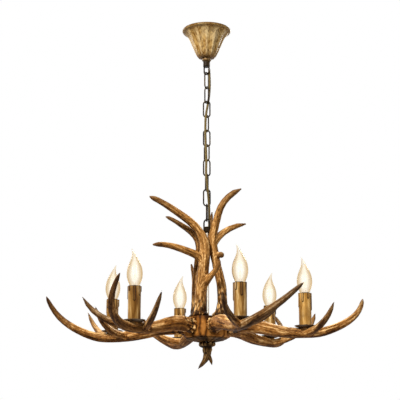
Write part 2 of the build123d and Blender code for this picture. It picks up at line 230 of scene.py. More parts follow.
# ---------------------------------------------------------------- canopy
# A spun and fluted steel cup with a rolled rim, painted antique gold, with brown glaze in the hollows. The
# cup is darker towards its foot, a band under the rim is painted shade, and the ridges are rubbed back to
# pale champagne, which also paints their highlights.
canopy_sides = 144
canopy_sheet = 0.0015
flutes = 12
canopy_outline = [          # radius, height, and the flutes' depth there as a share of the radius
    (0.0513, -0.0005, 0), (0.0556, -0.0001, 0), (0.0580, -0.0010, 0), (0.0586, -0.0026, 0),
    (0.0578, -0.0046, 0), (0.0551, -0.0060, 0.01), (0.0523, -0.0084, 0.03), (0.0492, -0.0125, 0.05),
    (0.0462, -0.0165, 0.06), (0.0430, -0.0215, 0.065), (0.0400, -0.0280, 0.07), (0.0362, -0.0370, 0.07),
    (0.0330, -0.0450, 0.07), (0.0297, -0.0530, 0.075), (0.0265, -0.0600, 0.085), (0.0240, -0.0650, 0.095),
    (0.0215, -0.0690, 0.10), (0.0180, -0.0712, 0.06), (0.0125, -0.0718, 0.02), (0.0054, -0.0719, 0),
]


def new_piece(name, mesh, body, paint):
    """A piece at the origin that rides on a CAD body."""
    piece = bpy.data.objects.new(name, mesh)
    bpy.context.scene.collection.objects.link(piece)
    mesh.materials.append(paint)
    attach(piece, body)
    return piece


def made_mesh(name, form):
    """A mesh of a finished form, with its faces outwards and smooth."""
    bmesh.ops.recalc_face_normals(form, faces=form.faces)
    for face in form.faces:
        face.smooth = True
    mesh = bpy.data.meshes.new(name)
    form.to_mesh(mesh)
    form.free()
    return mesh


def extruded(form, edges):
    """The new edges and corners that grow from a ring of edges."""
    grown = bmesh.ops.extrude_edge_only(form, edges=edges)["geom"]
    kinds = (bmesh.types.BMEdge, bmesh.types.BMVert)
    return [[part for part in grown if isinstance(part, kind)] for kind in kinds]


def keep(mesh, name, values):
    """A number for each corner of the mesh, for its material to read."""
    mesh.attributes.new(name, "FLOAT", "POINT").data.foreach_set("value", values)


def kept(tree, name):
    """The number that a mesh keeps for its material."""
    return node(tree, "Attribute", attribute_name=name).outputs["Fac"]


def height_on(tree):
    """How high a place on the piece is."""
    return node(tree, "SeparateXYZ", {0: node(tree, "TexCoord").outputs["Object"]}).outputs["Z"]


canopy_form = bmesh.new()
rings = [bmesh.ops.create_circle(canopy_form, segments=canopy_sides, radius=1.0)["verts"]]
edges = list(canopy_form.edges)
for _ in canopy_outline[1:]:
    edges, ring = extruded(canopy_form, edges)
    rings.append(ring)
rubbed_and_highlit = []
for ring, (radius, height, depth) in zip(rings, canopy_outline):
    for corner in ring:
        turn = atan2(corner.co.y, corner.co.x)
        crest = cos(flutes * turn)
        reach = radius * (1 - depth * (0.5 - 0.5 * crest) ** 0.7)
        corner.co = (reach * cos(turn), reach * sin(turn), height)
        rubbed_and_highlit.append(max(0.0, 1.4 * crest - 0.4) * min(1.0, 12 * depth))
canopy_mesh = made_mesh("canopy_cup", canopy_form)
keep(canopy_mesh, "rubbed_and_highlit", rubbed_and_highlit)

champagne, tree, shader = material("champagne_glaze", 0.38, 0.08, Specular_IOR_Level=0.10)
spots = speckle(tree, stretched(tree, (300, 300, 16)), 6, 0.25)
patches = speckle(tree, stretched(tree, (38, 38, 20)), 4)
height = height_on(tree)
# The cup is darker towards its foot, and a band just under the rolled rim is painted shade.
foot_darkening = level(tree, height, -0.058, -0.0715, 0, 0.8)
under_bead = level(tree, height, -0.0100, -0.0070, 0, 0.8)
under_rim_shade = combined(tree, "MULTIPLY", under_bead, level(tree, height, -0.0048, -0.0064))
gold = ramp(tree, spots, [
    (0.36, (0.095, 0.040, 0.006)), (0.48, (0.26, 0.142, 0.032)), (0.62, (0.46, 0.300, 0.104)),
])
warm = mixed(tree, level(tree, patches, 0.42, 0.66, 0, 0.6), gold, (0.27, 0.130, 0.031, 1))
faded = mixed(tree, level(tree, patches, 0.5, 0.3, 0, 0.55), warm, (0.56, 0.43, 0.235, 1))
# The crests are rubbed back to pale champagne, which is wear and also a painted highlight along each crest.
rub_and_highlight_share = combined(tree, "MULTIPLY", kept(tree, "rubbed_and_highlit"), level(tree, spots, 0.34, 0.6, 0.15, 0.75))
wear_light_and_shade = mixed(tree, rub_and_highlight_share, faded, (0.66, 0.51, 0.28, 1))
rim_line = level(tree, height, -0.0041, -0.0026, 0, 0.9)
lined = mixed(tree, rim_line, wear_light_and_shade, (0.075, 0.034, 0.009, 1))
darkening_share = mixed(tree, 0.7, foot_darkening, under_rim_shade, "ADD")
darkened_gold = mixed(tree, darkening_share, lined, (0.105, 0.046, 0.010, 1))
coat(tree, shader, darkened_gold, level(tree, spots, 0.3, 0.7, 0.5, 0.28))
relief(tree, shader, spots, 0.00025)
canopy_cup = new_piece("canopy_cup", canopy_mesh, "ceiling_mount", champagne)
wall = canopy_cup.modifiers.new("sheet", "SOLIDIFY")
wall.thickness = canopy_sheet
wall.offset = -1
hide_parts("canopy")

# ---------------------------------------------------------------- chain, loops and collar
# Welded wire links between two screw-collar loops, in dark oiled bronze that handling has rubbed
# to a dull gold here and there. The ring nut that holds the canopy up has a warmer brown glaze.
bronze, tree, shader = material("oiled_bronze", 0.45, 0.10, Specular_IOR_Level=0.08)
grime = speckle(tree, stretched(tree, (260, 260, 260)), 5)
rub = speckle(tree, stretched(tree, (90, 90, 55)), 3)
dark = ramp(tree, grime, [(0.3, (0.004, 0.002, 0.0005)), (0.7, (0.020, 0.011, 0.0025))])
brown = mixed(tree, level(tree, rub, 0.54, 0.74, 0, 0.7), dark, (0.125, 0.076, 0.019, 1))
coat(tree, shader, brown, level(tree, grime, 0.3, 0.7, 0.5, 0.3))
relief(tree, shader, grime, 0.00012)
link_names = [f"chain_link_{n:02d}" for n in range(1, 11)]
for name in ["canopy_loop", "column_loop", *link_names]:
    finish_with(name, bronze)

collar_glaze, tree, shader = material("collar_glaze", 0.42, 0.2, Specular_IOR_Level=0.2)
soil = speckle(tree, stretched(tree, (220, 220, 220)), 4)
coat(tree, shader, ramp(tree, soil, [(0.3, (0.045, 0.020, 0.005)), (0.7, (0.22, 0.125, 0.038))]))
relief(tree, shader, soil, 0.0002)
finish_with("canopy_collar", collar_glaze)

# ---------------------------------------------------------------- lamp cord
# A lead in a braided olive-gold sleeve, woven down through the chain from the canopy loop to the
# column loop. It is one cord, cut into stretches at the links it passes.
cord_radius = 0.0028
cord_route = [              # millimetres
    (6.0, 0.1, -98.7), (6.7, 0.2, -110.2), (7.9, 1.7, -146.3), (3.7, 6.9, -182.4), (-2.5, -8.0, -218.5),
    (-3.4, -8.4, -254.6), (-2.4, -5.1, -290.7), (-0.8, -4.8, -326.8), (-2.2, -9.4, -362.9),
    (2.0, -12.8, -399.0), (5.4, -4.5, -435.1), (5.6, 2.7, -471.2), (5.4, 2.7, -502.0),
]
first_contact = -0.1102
link_pitch = 0.0361
contact_heights = [first_contact - link_pitch * n for n in range(11)]
beyond_end = 0.01           # how far past the cord's ends the first and last cuts lie
thread_slant = 42

route = bpy.data.curves.new("cord_route", "CURVE")
route.dimensions = "3D"
route.resolution_u = 24
run = route.splines.new("NURBS")
run.points.add(len(cord_route) - 1)
for point, place in zip(run.points, cord_route):
    point.co = (*(axis / 1000 for axis in place), 1)
run.order_u = 3
run.use_endpoint_u = True
route.bevel_depth = cord_radius
route.bevel_resolution = 5
route.use_fill_caps = True
whole_cord = bpy.data.objects.new("cord_route", route)
bpy.context.scene.collection.objects.link(whole_cord)
cord_mesh = bpy.data.meshes.new_from_object(whole_cord)
bpy.data.objects.remove(whole_cord)


def threads(tree, slant):
    """One of the two sets of threads that wind round the sleeve."""
    turned = {"Vector": stretched(tree, (1, 1, 1)), "Rotation": (0, radians(slant), radians(20))}
    slanted = node(tree, "Mapping", turned).outputs[0]
    wave = {"Vector": slanted, "Scale": 330.0, "Distortion": 0.6}
    return node(tree, "TexWave", wave, wave_type="BANDS").outputs["Fac"]


braid, tree, shader = material("olive_braid", 0.62, Sheen_Weight=0.1, Specular_IOR_Level=0.2)
weave = combined(tree, "MAXIMUM", threads(tree, thread_slant), threads(tree, -thread_slant))
olive = ramp(tree, weave, [(0.3, (0.024, 0.015, 0.003)), (0.9, (0.130, 0.086, 0.018))])
fading = level(tree, speckle(tree, stretched(tree, (60, 60, 24)), 3), 0.4, 0.7, 0, 0.5)
coat(tree, shader, mixed(tree, fading, olive, (0.19, 0.132, 0.036, 1)))
relief(tree, shader, weave, 0.0002)

cuts = [cord_route[0][2] / 1000 + beyond_end]
cuts += [height - link_pitch / 2 for height in contact_heights[:-1]]
cuts += [cord_route[-1][2] / 1000 - beyond_end]
for n, (top, bottom) in enumerate(zip(cuts, cuts[1:])):
    stretch = bmesh.new()
    stretch.from_mesh(cord_mesh)
    for height, facing in ((top, 1), (bottom, -1)):
        cut = bmesh.ops.bisect_plane(
            stretch, geom=[*stretch.verts, *stretch.edges, *stretch.faces],
            plane_co=(0, 0, height), plane_no=(0, 0, facing), clear_outer=True)
        rim = [part for part in cut["geom_cut"] if isinstance(part, bmesh.types.BMEdge)]
        if rim:
            bmesh.ops.contextual_create(stretch, geom=rim)
    mesh = made_mesh(f"cord_stretch_{n + 1:02d}", stretch)
    mesh.materials.append(braid)
    piece = bpy.data.objects.new(mesh.name, mesh)
    bpy.context.scene.collection.objects.link(piece)
    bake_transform(piece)
    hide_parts("lamp_cord")

# ---------------------------------------------------------------- column
# A straight steel pipe from the column loop down through the hub, holding the finial below it.
# Its finish is a bright satin plate that has picked up a cream haze.
satin, tree, shader = material("satin_pipe", 0.3, 0.9)
drawn = speckle(tree, stretched(tree, (700, 700, 25)), 3)
haze = speckle(tree, stretched(tree, (70, 70, 30)), 4)
pale = ramp(tree, haze, [(0.3, (0.58, 0.55, 0.46)), (0.7, (0.82, 0.80, 0.73))])
coat(tree, shader, pale, level(tree, drawn, 0.2, 0.8, 0.24, 0.44))
relief(tree, shader, drawn, 0.00004)
finish_with("column_pipe", satin)

# ---------------------------------------------------------------- hub and its cover
# Cast resin carved like the root of an antler, painted orange brown over dark. The drum takes six
# arms on flats round its side, and a dished plate closes it from below.
hub_cell = 0.0013           # the even mesh's spacing
hub_top = -0.6984
drum_groove = 0.0010
cover_groove = 0.0022


def casting(source, cell, rounds, plump=0.0, rework=None):
    """A CAD node's form as an even mesh with softened edges, grown by a little to keep its tips."""
    form = bmesh.new()
    form.from_mesh(nodes[source].data)
    bmesh.ops.remove_doubles(form, verts=form.verts, dist=0.000002)
    if rework:
        rework(form)
    rough = bpy.data.meshes.new("rough")
    form.to_mesh(rough)
    form.free()
    blank = bpy.data.objects.new("rough", rough)
    bpy.context.scene.collection.objects.link(blank)
    if plump:
        grown = blank.modifiers.new("plump", "DISPLACE")
        grown.strength = plump
        grown.mid_level = 0
    even = blank.modifiers.new("even", "REMESH")
    even.mode = "VOXEL"
    even.voxel_size = cell
    soft = blank.modifiers.new("soft", "SMOOTH")
    soft.factor = 0.5
    soft.iterations = rounds
    settled = blank.evaluated_get(bpy.context.evaluated_depsgraph_get())
    mesh = bpy.data.meshes.new_from_object(settled)
    bpy.data.objects.remove(blank)
    mesh.materials.clear()
    mesh.polygons.foreach_set("use_smooth", [True] * len(mesh.polygons))
    return mesh


def uneven(x, y, z):
    """An uneven value round 0."""
    return noise.noise(Vector((x, y, z)))


def ridge(x, y, z):
    """Sharp valleys between round ridges, from 0 in a valley up to 1."""
    return min(1.0, 2.6 * abs(uneven(x, y, z)))


def clamped(value):
    """A value held between 0 and 1."""
    return min(1.0, max(0.0, value))


def carve_round(mesh, seed, depth, count=3.2, lengthwise=26.0):
    """Cuts uneven upright grooves into a form round the lamp's own axis."""
    wear_light_and_shade = []
    normals = [corner.normal.copy() for corner in mesh.vertices]
    for corner, normal in zip(mesh.vertices, normals):
        turn = atan2(corner.co.y, corner.co.x)
        valley = ridge(count * cos(turn) + seed, count * sin(turn), lengthwise * corner.co.z)
        grit = noise.noise(corner.co * 150 + Vector((seed, 0, 0)))
        lumps = noise.noise(corner.co * 45 + Vector((0, seed, 0)))
        height = 0.75 * (valley - 0.55) + 0.25 * grit + 0.5 * lumps
        corner.co += normal * height * depth
        wear_light_and_shade.append(clamped(0.5 + 0.55 * height))
    keep(mesh, "wear_light_and_shade", wear_light_and_shade)


def antler_paint(name, groove, dark, mid, light, tip, streaky=0.3, pitted=0.2):
    """Hand-painted resin horn: dark glaze in the grooves, dry-brushed tan on the ridges."""
    made, tree, shader = material(name, 0.5, Specular_IOR_Level=0.045)
    grain = node(tree, "Attribute", attribute_name="grain").outputs["Vector"]
    streaks = speckle(tree, stretched(tree, (170, 170, 20), grain), 6, 0.2)
    pits = speckle(tree, stretched(tree, (380, 380, 130), grain), 4)
    pores = speckle(tree, stretched(tree, (620, 620, 120), grain), 3)
    patches = speckle(tree, stretched(tree, (27, 27, 27)), 4)
    streaked = level(tree, streaks, 0.28, 0.72, -streaky, streaky)
    # The kept wear carries, on carved horns, painted light on upper sides and painted shade beneath.
    shade = combined(tree, "ADD", kept(tree, "wear_light_and_shade"), streaked)
    shade = combined(tree, "ADD", shade, level(tree, pits, 0.34, 0.66, -pitted, 0.7 * pitted))
    base = ramp(tree, shade, [(0.12, groove), (0.33, dark), (0.55, mid), (0.84, light)])
    warm = mixed(tree, level(tree, patches, 0.50, 0.70, 0, 0.55), base, (*mid, 1))
    dull = mixed(tree, level(tree, patches, 0.46, 0.32, 0, 0.60), warm, (*dark, 1))
    pored = mixed(tree, level(tree, pores, 0.40, 0.28, 0, 0.5), dull, (*groove, 1))
    tipped = mixed(tree, level(tree, kept(tree, "reach"), 0.74, 0.97, 0, 0.72), pored, (*tip, 1))
    cooled = mixed(tree, kept(tree, "cool"), tipped, (0.50, 0.62, 0.98, 1), "MULTIPLY")
    rooted = mixed(tree, level(tree, kept(tree, "root"), 0.22, 0.72, 0, 0.92), cooled, (*groove, 1))
    coat(tree, shader, rooted, level(tree, shade, 0.1, 0.9, 0.62, 0.42))
    relief(tree, shader, streaks, 0.0005, 0.9)
    return made


groove_brown = (0.010, 0.0040, 0.0010)
tip_brown = (0.045, 0.021, 0.008)

hub_paint = antler_paint(
    "hub_horn", groove_brown, (0.058, 0.019, 0.003), (0.26, 0.096, 0.016), (0.46, 0.210, 0.052), tip_brown)
hub_mesh = casting("hub", hub_cell, 6)
carve_round(hub_mesh, 2.0, drum_groove)
hub_drum = new_piece("hub_drum", hub_mesh, "fixture", hub_paint)
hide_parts("hub")

cover_paint = antler_paint(
    "cover_horn", groove_brown, (0.036, 0.015, 0.003), (0.085, 0.036, 0.008), (0.24, 0.120, 0.038), tip_brown)
cover_mesh = casting("hub_cover", hub_cell, 5)
carve_round(cover_mesh, 5.0, cover_groove, 3.4, 40.0)
cover_dish = new_piece("cover_dish", cover_mesh, "fixture", cover_paint)
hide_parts("hub_cover")

# ---------------------------------------------------------------- finial
# A small resin antler that hangs upside down on the end of the column, with a beaded burr against
# the nut under the cover. It forks into two short tines.
line_steps = 6              # samples between two points of a horn
ridge_count = 2.9           # how closely grooves lie round a horn
ridge_length = 8.0          # how often they wander along it
ridge_share = 0.030         # depth of a groove as a share of the horn's thickness
bead_depth = 0.0018
cut_depth = 0.0016
edge_place, edge_width = 0.0105, 0.0044         # the groove behind a root's rolled edge
curl_place, curl_width = 0.026, 0.0040          # the broken groove above it
seam_width = 0.003
tip_start = 0.72            # share of a horn's length where its point begins
finial_cell = 0.001
finial_growth = 0.0008


def centre_line(points, sizes, start_along, steady=0.1, shift=(0, 0, 0)):
    """Samples down a horn: place, direction, two crosswise directions, way along, share, thickness.

    The last number is how far the horn is bent there, from nothing at a steady share to the tip's shift.
    """
    spots = [Vector(p) / 1000 for p in points]
    ends = [spots[0] * 2 - spots[1], *spots, spots[-1] * 2 - spots[-2]]
    places, widths = [], []
    for k in range(1, len(spots)):
        lead, trail = (ends[k + 1] - ends[k - 1]) / 6, (ends[k + 2] - ends[k]) / 6
        handles = (ends[k], ends[k] + lead, ends[k + 1] - trail, ends[k + 1])
        run = geometry.interpolate_bezier(*handles, line_steps + 1)
        for step, place in enumerate(run[:line_steps]):
            places.append(place)
            widths.append((sizes[k - 1] + (sizes[k] - sizes[k - 1]) * step / line_steps) / 1000)
    places.append(spots[-1])
    widths.append(sizes[-1] / 1000)
    line, along, across = [], start_along, Vector((0.02, 0.03, 1)).cross(places[1] - places[0])
    for k, place in enumerate(places):
        ahead = (places[min(k + 1, len(places) - 1)] - places[max(k - 1, 0)]).normalized()
        across = (across - ahead * across.dot(ahead)).normalized()
        if k:
            along += (place - places[k - 1]).length
        share = k / (len(places) - 1)
        bent = Vector(shift) * max(0.0, (share - steady) / (1 - steady)) ** 2
        line.append((place, ahead, across, ahead.cross(across), along, share, widths[k], bent))
    return line


def carve_horns(mesh, lines, place, seed, stretch=0.0045, swell_out=0.0006, cuffed=True, cools=None,
                root_reach=0.045):
    """Cuts ridges and grooves that run along the nearest horn, and knobs round its root.

    The even mesh loses a few millimetres of a horn's point, so each tip is stretched and swollen back.
    A cuffed root has a seam, a rolled edge and a groove behind it, and otherwise its beads are painted
    dark as far as the root reaches. Undersides are painted darker and upper sides lighter, as painted shade
    and light.
    """
    samples = [sample for line in lines for sample in line]
    coolness = [value for line, value in zip(lines, cools or [0] * len(lines)) for _ in line]
    tree = kdtree.KDTree(len(samples))
    for k, sample in enumerate(samples):
        tree.insert(place @ sample[0], k)
    tree.balance()
    turned = place.to_3x3()
    wear_light_and_shade, reach, root, cool, grain = [], [], [], [], []
    normals = [corner.normal.copy() for corner in mesh.vertices]
    for corner, normal in zip(mesh.vertices, normals):
        spot, k, _ = tree.find(corner.co)
        _, ahead, across, over, along, share, width, bent = samples[k]
        away = corner.co - spot
        u, v = away.dot(turned @ across), away.dot(turned @ over)
        way = along + away.dot(turned @ ahead)
        turn = atan2(v, u)
        c, s = ridge_count * cos(turn) + seed, ridge_count * sin(turn)
        valley = ridge(c, s, ridge_length * way)
        fine = uneven(2.4 * c, 2.4 * s, 44 * way)
        swell = uneven(0.7 * c, 0.7 * s, 30 * way + seed)
        bead = uneven(1.25 * c, 1.25 * s, 95 * way + seed)
        blotch = uneven(1.9 * c, 1.9 * s, 110 * way - seed)
        knob = max(0.0, 1 - way / root_reach)
        cut = 0.0
        if cuffed:
            wander = way + 0.005 * noise.noise(corner.co * 55 + Vector((0, seed, 0)))
            edge = 1 - abs(wander - edge_place) / edge_width
            seam = 1 - (wander + seam_width) / seam_width
            curl = max(0.0, 1 - abs(wander - curl_place) / curl_width) * clamped(3 * swell + 0.6)
            cut = max(0.0, edge, seam, curl)
        height = 0.54 * (valley - 0.55) + 0.20 * fine + 0.48 * swell
        depth = ridge_share * width * (1 - 0.5 * knob) * (1 - 0.55 * share)
        blunt = max(0.0, (share - tip_start) / (1 - tip_start)) ** 2
        raised = height * depth + bead * knob * bead_depth - cut * cut_depth + blunt * swell_out
        corner.co += normal * raised
        corner.co += turned @ (ahead * blunt * stretch + bent)
        # The normal's height paints upper sides lighter and undersides darker, as painted light and shade
        # over the wear.
        wear_light_and_shade.append(clamped(0.52 + 0.33 * height + 0.8 * bead * knob + 0.17 * normal.z))
        reach.append(share if width < 0.02 else 0.0)
        root.append(min(1.0, cut if cuffed else max(0.0, knob * (0.95 - 1.9 * blotch))))
        cool.append(coolness[k] * clamped((share - 0.25) * 3.5))
        grain += [u, v, way]
    for name, values in (("wear_light_and_shade", wear_light_and_shade), ("reach", reach), ("root", root), ("cool", cool)):
        keep(mesh, name, values)
    mesh.attributes.new("grain", "FLOAT_VECTOR", "POINT").data.foreach_set("vector", grain)


finial_top = Matrix.Translation((0, 0, -0.7539))
finial_lines = [
    centre_line([(0, 0, -3), (0, 0, -20), (-1.5, 0, -34), (-8, -1, -46), (-17, -2, -57)],
                [29, 20, 15, 9.5, 4], 0),
    centre_line([(0, 0, -24), (4, 1, -33), (8, 2, -40), (10, 3, -47)], [13, 10, 7, 4], 0.024),
]
finial_mesh = casting("bottom_finial", finial_cell, 3, finial_growth)
carve_horns(finial_mesh, finial_lines, finial_top, 3.0)
finial_paint = antler_paint(
    "finial_horn", groove_brown, (0.046, 0.020, 0.004), (0.165, 0.086, 0.027), (0.42, 0.26, 0.11), tip_brown,
    0.2, 0.2)
finial = new_piece("finial_horn", finial_mesh, "fixture", finial_paint)
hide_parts("bottom_finial")

# ---------------------------------------------------------------- upright antlers
# Three resin casts of shed antlers stand on the hub, round the column. Each has a burr of dark beads
# where it seats, a beam with long ridges, and tines that run to worn, darkened tips.
horn_cell = 0.0015
upright_seed = 11.0
upright_paint = antler_paint(
    "upright_horn", (0.014, 0.0050, 0.0012), (0.090, 0.0350, 0.0066), (0.33, 0.155, 0.040),
    (0.80, 0.510, 0.215), (0.085, 0.038, 0.012), 0.20, 0.17)
# The back upright takes a darker copy of the upright paint, as painted shade.
shaded_back_paint = antler_paint(
    "shaded_back_horn", groove_brown, (0.050, 0.019, 0.004), (0.19, 0.086, 0.022), (0.46, 0.27, 0.100), tip_brown,
    0.24, 0.17)
upright_paints = {"front": upright_paint, "right": upright_paint, "back": shaded_back_paint}
hub_place = Matrix.Translation((0, 0, hub_top))
# Each horn has its points in millimetres, its thicknesses there, and where its ridges start along.
uprights = {
    "front": [
        ([(-19, -27, 2), (-18, -26, 37), (-15, -24, 76), (-11, -20, 118), (-9.5, -17, 152), (-14, -17, 186),
          (-28, -17, 210), (-54, -19, 232), (-84, -24, 252), (-112, -30, 268), (-129, -34, 275)],
         [30, 24, 23.5, 23, 22, 19, 16.5, 15, 12.5, 8.5, 4], 0),
        ([(-12, -19, 124), (-22, -21, 137), (-42, -27, 147), (-73, -34, 158), (-100, -42, 162),
          (-120, -48, 161)], [17, 16, 13.5, 11.5, 8.5, 4], 0.12),
        ([(-15, -24, 58), (-7, -27, 74), (7, -33, 92), (20, -41, 107), (27, -48, 120)],
         [15, 13.5, 11, 8, 4], 0.06),
    ],
    "right": [
        ([(31, 0, 2), (33, 0, 38), (31, 0, 62), (26, 0, 88), (20.5, -1, 118), (17, -2, 152), (17, -3, 184),
          (22, -5, 222), (32, -7, 256), (50, -8, 281), (77, -6, 299)],
         [28, 19, 18, 17.5, 17, 17, 16.5, 14.5, 12, 9, 4], 0),
        ([(17, -2, 168), (31, 5, 190), (55, 13, 210), (89, 20, 222)], [14, 13, 9.5, 4], 0.17),
        ([(18, -1, 140), (25, -5, 143), (30, -15, 143), (32, -31, 140), (32, -47, 137)],
         [11.5, 9.5, 8.5, 7, 6], 0.14),
    ],
    "back": [
        ([(-25, 23, 2), (-27, 23, 38), (-27, 22, 76), (-22, 19, 118), (-17, 17, 152), (-20, 17, 182),
          (-38, 21, 205), (-61, 27, 222), (-80, 32, 235), (-95, 36, 243)],
         [30, 23, 22, 21, 19.5, 18, 15, 12, 8, 4], 0),
        ([(-27, 22, 58), (-31, 29, 84), (-34, 36, 106), (-37, 42, 132)], [14, 12.5, 9, 4], 0.06),
        ([(-17, 17, 150), (-9, 23, 180), (3, 30, 205), (9, 37, 228), (12, 44, 254)],
         [15, 14, 12, 8.5, 4], 0.15),
    ],
}
# Each cast is a little fuller than its model and leans a few millimetres from it halfway up, and the
# dark beads of the right one's root reach higher.
upright_growth = {"front": 0.0020, "right": 0.0024, "back": 0.0006}
upright_roots = {"front": 0.052, "right": 0.085, "back": 0.052}
leans = {                   # millimetres up the trunk, and to the right there
    "front": [(0, 2.2), (40, 3.0), (100, 2.8), (140, 4.4), (168, 5.4), (186, 3.2), (208, 0)],
    "right": [(0, 0), (50, 2.5), (80, 4.4), (100, 4.0), (122, 2.3), (147, 0), (172, -3.0), (190, -3.6),
              (212, -1.5), (230, 0)],
    "back": [(0, 1.0), (60, 2.5), (100, 2.5), (140, 0)],
}
lean_edge, lean_fade = 0.065, 0.045             # no lean this far out, and over what it fades


def lean_in(mesh, trunk, leaning):
    """Moves a trunk sideways as its leaning says, fading out down its tines."""
    line = [Vector(point) / 1000 for point in trunk]
    for corner in mesh.vertices:
        height = corner.co.z - hub_top
        spell = next((s for s in zip(leaning, leaning[1:]) if s[0][0] <= height * 1000 <= s[1][0]), None)
        if spell:
            (low, shift), (high, next_shift) = spell
            part = (height * 1000 - low) / (high - low)
            part = part * part * (3 - 2 * part)
            shift = (shift + (next_shift - shift) * part) / 1000
            runs = ((a, b) for a, b in zip(line, line[1:]) if a.z <= height <= b.z)
            axis = next(((b - a) * (height - a.z) / (b.z - a.z) + a for a, b in runs), line[-1])
            off = (Vector((corner.co.x, corner.co.y)) - axis.xy).length
            corner.co.x += shift * clamped((lean_edge - off) / lean_fade)


def curl_low_tine(form):
    """Cuts the right cast's low tine back and grows the real one, which curls round to face the front."""
    stray = [c for c in form.verts if c.co.y < -0.0125 and 0.100 < c.co.z - hub_top < 0.150]
    bmesh.ops.delete(form, geom=stray, context="VERTS")
    bmesh.ops.holes_fill(form, edges=[edge for edge in form.edges if edge.is_boundary], sides=0)
    points, sizes, _ = uprights["right"][2]
    spots = [Vector(point) / 1000 + Vector((0, 0, hub_top)) for point in points]
    radii = [size / 2000 for size in sizes]
    for a, b, thick, thin in zip(spots, spots[1:], radii, radii[1:]):
        turned = (b - a).to_track_quat("Z", "Y").to_matrix().to_4x4()
        middle = Matrix.Translation((a + b) / 2) @ turned
        bmesh.ops.create_cone(
            form, cap_ends=True, segments=16, radius1=thick, radius2=thin,
            depth=(b - a).length, matrix=middle)
        bmesh.ops.create_uvsphere(
            form, u_segments=16, v_segments=10, radius=thin, matrix=Matrix.Translation(b))


for n, (side, horns) in enumerate(uprights.items()):
    rework = curl_low_tine if side == "right" else None
    mesh = casting(f"upright_antler_{side}", horn_cell, 3, upright_growth[side], rework)
    lean_in(mesh, horns[0][0], leans[side])
    lines = [centre_line(*horn) for horn in horns]
    carve_horns(mesh, lines, hub_place, upright_seed + 7 * n, 0.0022, 0.0019, False,
                root_reach=upright_roots[side])
    piece = new_piece(f"upright_horn_{side}", mesh, "fixture", upright_paints[side])
    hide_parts(f"upright_antler_{side}")

# ---------------------------------------------------------------- antler arms
# Six casts of one shed antler, bolted to the hub's flats from inside. Each has a rolled root, a beam
# that sags under its candle and sweeps up to an end tine, and a tine to each side of the pan.
arm_turns = [346.5, 47.4, 107.4, 167.4, 226.5, 288.0]
pan_level = -0.7244
arm_growth = 0.0009
arm_seed = 40.0
arm_steadies = [0.45, 0.1, 0.1]         # share of each horn that keeps the model's line
arm_horns = [
    ([(52, 0, 4), (80, 0, 5.5), (112, 0, 3.5), (146, 1, -5), (186, 1, -12.5), (226, 0, -15), (256, 4, -14),
      (279, 10, -8), (300, 20, 1), (320, 33, 13), (337, 50, 29), (348, 70, 49), (353, 90, 69)],
     [31, 34, 32, 28, 23.5, 21, 19.5, 18, 16.5, 15, 12.5, 9, 4], 0),
    ([(222, -2, -15), (242, -14, -12), (266, -36, -1), (289, -57, 19), (305, -68, 44)],
     [15, 15, 14, 10.5, 4], 0.17),
    ([(190, 1, -11), (206, 21, -9), (220, 48, 1), (231, 73, 20), (237, 92, 45)],
     [15, 15, 13.5, 10, 4], 0.14),
]
# Where each cast's end tine, outer and inner tine bend away from the model: right, away and up, in mm.
arm_bends = [
    [(-7, 0, -1), (-7, 0, -3), (-2, 0, -7)],
    [(0, 0, 0), (0, 0, 2), (0, 0, -3)],
    [(0, 0, 3), (0, 0, 0), (0, 0, 2)],
    [(-3, 0, 3), (-3, 0, 8), (0, 0, 0)],
    [(2, 0, 8), (-5, 0, 3), (2, 0, 7)],
    [(-1, 0, -11), (2, 0, -5), (0, 0, 0)],
]
# How far the glaze on each of those tines turned to a dull olive brown.
arm_cools = [
    (0.0, 0.65, 0.1), (0.2, 0.3, 0.2), (0.2, 0.3, 0.2), (0.05, 0.3, 0.3), (0.4, 0.85, 0.85), (0.75, 0.9, 0.9),
]
arm_paint = antler_paint(
    "arm_horn", groove_brown, (0.062, 0.0195, 0.0034), (0.295, 0.126, 0.029), (0.92, 0.590, 0.250), tip_brown,
    0.18, 0.12)
first_arm = casting("antler_arm_1", horn_cell, 3, arm_growth)
first_arm.transform(Matrix.Rotation(radians(-arm_turns[0]), 4, "Z"))
for n, turn in enumerate(arm_turns):
    swing = Matrix.Rotation(radians(turn), 4, "Z")
    mesh = first_arm.copy()
    mesh.transform(swing)
    bends = [swing.inverted() @ Vector(bend) / 1000 for bend in arm_bends[n]]
    lines = [centre_line(*horn, steady, bend) for horn, steady, bend in zip(arm_horns, arm_steadies, bends)]
    place = Matrix.Translation((0, 0, pan_level)) @ swing
    carve_horns(mesh, lines, place, arm_seed + 9 * n, cools=arm_cools[n])
    piece = new_piece(f"arm_horn_{n + 1}", mesh, "fixture", arm_paint)
    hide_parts(f"antler_arm_{n + 1}")

# ---------------------------------------------------------------- candles
# A spun drip pan, a lampholder on its threaded stem, and a resin sleeve cast as a candle with wax
# runs. The pan is dark bronze, and the sleeve is ochre with brown glaze round its runs.
candle_radius = 0.226
sleeve_radius = 0.014
sleeve_cell = 0.0008
sleeve_top = pan_level + 0.0747
run_depth = 0.0016
wax_swell = 0.00035
sleeve_glaze = [0.05, 0.15, 0.40, 0.30, 0.78, 0.62]     # how brown each one was left

pan_bronze, tree, shader = material("pan_bronze", 0.4, 0.7)
soot = speckle(tree, stretched(tree, (140, 140, 140)), 5)
pan_tone = ramp(tree, soot, [
    (0.3, (0.040, 0.026, 0.016)), (0.62, (0.110, 0.074, 0.044)), (0.8, (0.24, 0.160, 0.085)),
])
coat(tree, shader, pan_tone, level(tree, soot, 0.3, 0.7, 0.52, 0.32))
relief(tree, shader, soot, 0.00015)

